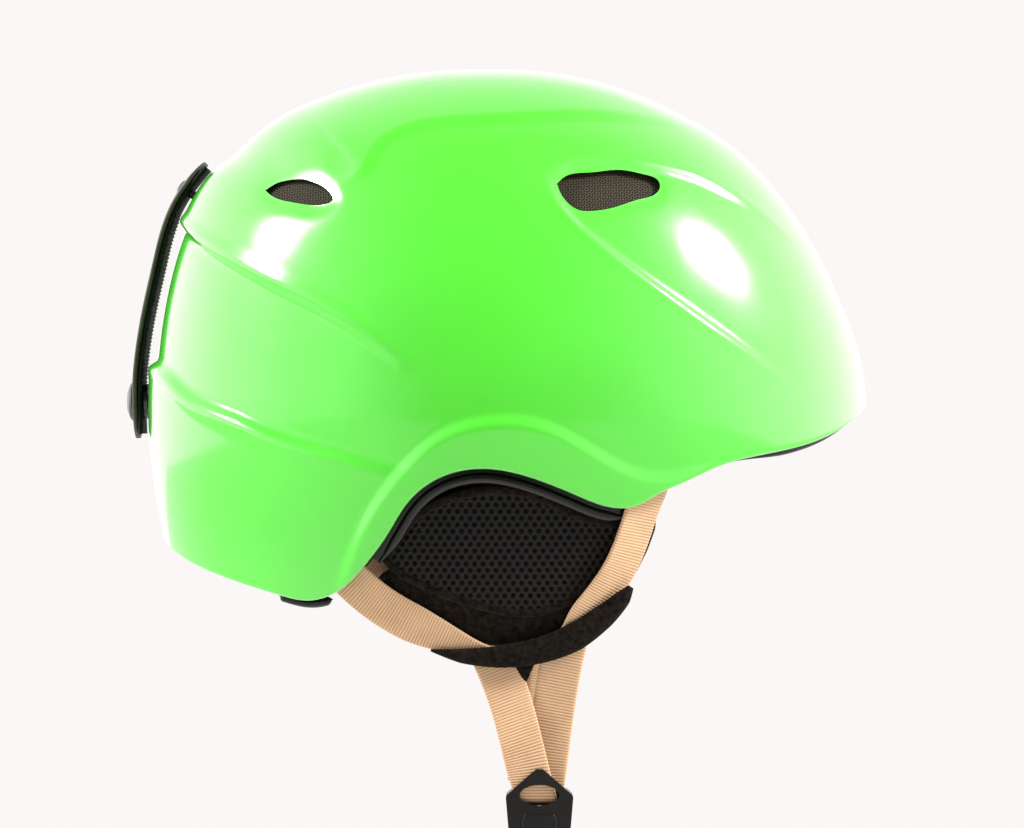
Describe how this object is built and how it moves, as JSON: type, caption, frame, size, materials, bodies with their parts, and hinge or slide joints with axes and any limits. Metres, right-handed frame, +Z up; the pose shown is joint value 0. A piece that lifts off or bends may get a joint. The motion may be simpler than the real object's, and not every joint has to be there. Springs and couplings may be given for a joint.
{
  "type": "ski helmet",
  "caption": "Ski helmet: glossy hard shell on a foam liner, screened vents, goggle strap retainer, ear pads, sprung fit cradle, chin straps and side release buckle.",
  "frame": {"origin": "centre of the wearer's head at brow level, between the two ear arches and on the shell's middle plane", "axes": "+X forward over the brow, +Y to the wearer's left, +Z up through the crown"},
  "size_m": [0.2755, 0.208, 0.2872],
  "materials": {
    "green_shell": "glossy, bright green",
    "eps_foam": "expanded bead foam, black",
    "vent_mesh": "open knitted mesh",
    "pad_cloth": "brushed fleece over foam",
    "spacer_mesh": "open spacer mesh",
    "sleeve_cloth": "plain weave",
    "webbing": "ribbed tan webbing",
    "black_rubber": "smooth",
    "grip_cloth": "ribbed",
    "dark_metal": "satin black",
    "black_plastic": "moulded"
  },
  "bodies": {
    "helmet": {"brow_pad": "pad_cloth", "cradle_guide_left": "black_plastic", "cradle_guide_right": "black_plastic", "crown_pad": "pad_cloth", "ear_pad_carrier_left": "black_plastic", "ear_pad_carrier_right": "black_plastic", "eps_liner": "eps_foam", "nape_pad": "pad_cloth", "outer_shell": "green_shell", "retainer_rivet": "dark_metal", "retainer_tab": "black_rubber", "retainer_washer": "dark_metal", "snap_stud": "dark_metal", "strap_anchor_front_left": "black_plastic", "strap_anchor_front_right": "black_plastic", "strap_anchor_rear_left": "black_plastic", "strap_anchor_rear_right": "black_plastic", "temple_pad_left": "pad_cloth", "temple_pad_right": "pad_cloth", "vent_screen_front_left": "vent_mesh", "vent_screen_front_right": "vent_mesh", "vent_screen_rear_left": "vent_mesh", "vent_screen_rear_right": "vent_mesh"},
    "goggle_retainer": {"retainer_strap": "black_rubber", "retainer_grip": "grip_cloth", "snap_cap": "dark_metal", "snap_socket": "dark_metal"},
    "sprung_cradle": {"fit_cradle": "black_plastic", "cradle_pad": "pad_cloth"},
    "ear_flap_right": {"ear_pad_right": "pad_cloth", "ear_mesh_right": "spacer_mesh", "ear_sleeve_right": "sleeve_cloth", "strap_front_right": "webbing", "strap_rear_right": "webbing"},
    "chin_webbing_right": {"chin_strap_right": "webbing"},
    "ear_flap_left": {"ear_pad_left": "pad_cloth", "ear_mesh_left": "spacer_mesh", "ear_sleeve_left": "sleeve_cloth", "strap_front_left": "webbing", "strap_rear_left": "webbing"},
    "chin_webbing_left": {"chin_strap_left": "webbing"},
    "buckle_socket": {"buckle_socket_half": "black_plastic"},
    "buckle_plug": {"buckle_plug_half": "black_plastic"},
    "prong_front": {"buckle_prong_front": "black_plastic"},
    "prong_rear": {"buckle_prong_rear": "black_plastic"}
  },
  "joints": [
    {"name": "goggle_retainer_lift", "type": "hinge", "parent": "helmet", "child": "goggle_retainer", "pos_m": [-0.1226, 0, 0.0743], "axis": [0, 1, 0], "range_deg": [0, 110]},
    {"name": "fit_cradle_slide", "type": "slide", "parent": "helmet", "child": "sprung_cradle", "axis": [1, 0, 0], "range_m": [-0.007, 0], "stiffness_N_per_m": 300, "springref_m": 0.002},
    {"name": "ear_flap_flex_right", "type": "hinge", "parent": "helmet", "child": "ear_flap_right", "pos_m": [0, -0.0955, -0.0295], "axis": [-1, 0, 0], "range_deg": [0, 10], "stiffness_Nm_per_rad": 1, "springref_deg": -1.72, "deforming": ["strap_front_right", "strap_rear_right"]},
    {"name": "chin_strap_swing_right", "type": "hinge", "parent": "ear_flap_right", "child": "chin_webbing_right", "pos_m": [0, -0.07543, -0.095], "axis": [1, 0, 0], "range_deg": [-75, 60], "deforming": ["chin_strap_right"]},
    {"name": "buckle_socket_pivot", "type": "hinge", "parent": "chin_webbing_right", "child": "buckle_socket", "pos_m": [0.0123, -0.07543, -0.1396], "axis": [1, 0, 0], "range_deg": [-60, 60]},
    {"name": "ear_flap_flex_left", "type": "hinge", "parent": "helmet", "child": "ear_flap_left", "pos_m": [0, 0.0955, -0.0295], "axis": [1, 0, 0], "range_deg": [0, 10], "stiffness_Nm_per_rad": 1, "springref_deg": -1.72, "deforming": ["strap_front_left", "strap_rear_left"]},
    {"name": "chin_strap_swing_left", "type": "hinge", "parent": "ear_flap_left", "child": "chin_webbing_left", "pos_m": [0, 0.07543, -0.095], "axis": [-1, 0, 0], "range_deg": [-75, 60], "deforming": ["chin_strap_left"]},
    {"name": "buckle_plug_pivot", "type": "hinge", "parent": "chin_webbing_left", "child": "buckle_plug", "pos_m": [0.0123, 0.07543, -0.1396], "axis": [-1, 0, 0], "range_deg": [-60, 60]},
    {"name": "prong_flex_front", "type": "hinge", "parent": "buckle_plug", "child": "prong_front", "pos_m": [0.0185, 0.07603, -0.1499], "axis": [0, 1, 0], "range_deg": [0, 12], "stiffness_Nm_per_rad": 0.05},
    {"name": "prong_flex_rear", "type": "hinge", "parent": "buckle_plug", "child": "prong_rear", "pos_m": [0.0061, 0.07603, -0.1499], "axis": [0, -1, 0], "range_deg": [0, 12], "stiffness_Nm_per_rad": 0.05}
  ]
}
